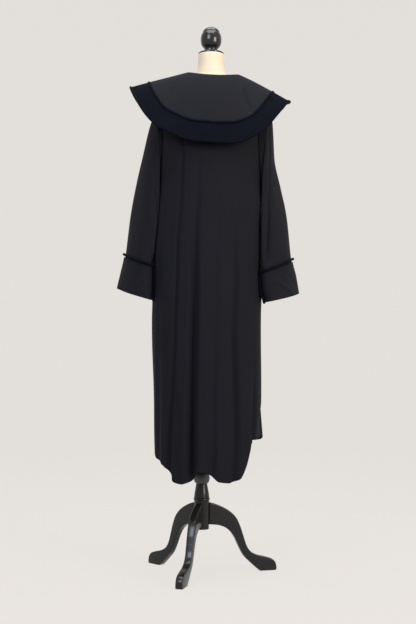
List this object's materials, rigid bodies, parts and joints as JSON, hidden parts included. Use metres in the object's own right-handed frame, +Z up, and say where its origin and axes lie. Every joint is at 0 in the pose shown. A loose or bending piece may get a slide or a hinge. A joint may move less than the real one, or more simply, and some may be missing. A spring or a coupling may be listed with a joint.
{
  "type": "judicial robe on a limbless dress form with a tripod stand",
  "caption": "Long black judge's robe with a wide velvet-banded cape collar and turned-back cuffs, hanging open at neck, hem and sleeves on a cream dress form and a dark turned tripod stand.",
  "frame": {"origin": "middle of the whole object's footprint, on the floor under the stand's feet", "axes": "+Z up; +Y is the wearer's front, so the robe's back faces -Y; +X is the wearer's right"},
  "size_m": [0.5753, 0.4156, 1.7045],
  "materials": {
    "black_wool": "matt worsted, soft creases",
    "black_velvet": "short black pile with a slight blue sheen",
    "cream_cover": "smooth stretched cotton jersey",
    "black_lacquer": "gloss black lacquer",
    "dark_plastic": "satin dark grey"
  },
  "bodies": {
    "root": {"robe_back": "black_wool", "robe_front_left": "black_wool", "robe_front_right": "black_wool", "sleeve_left": "black_wool", "sleeve_right": "black_wool", "cuff_left": "black_wool", "cuff_right": "black_wool", "cuff_roll_left": "black_velvet", "cuff_roll_right": "black_velvet", "collar_cloth": "black_wool", "collar_velvet_band": "black_velvet", "collar_inner_roll": "black_velvet", "collar_outer_roll": "black_velvet", "form_torso": "cream_cover", "finial": "black_lacquer", "neck_disc": "black_lacquer", "pole": "dark_plastic", "column_ball": "dark_plastic", "column_cone": "black_lacquer", "hub": "black_lacquer", "leg_front": "black_lacquer", "leg_right": "black_lacquer", "leg_left": "black_lacquer"}
  },
  "joints": []
}
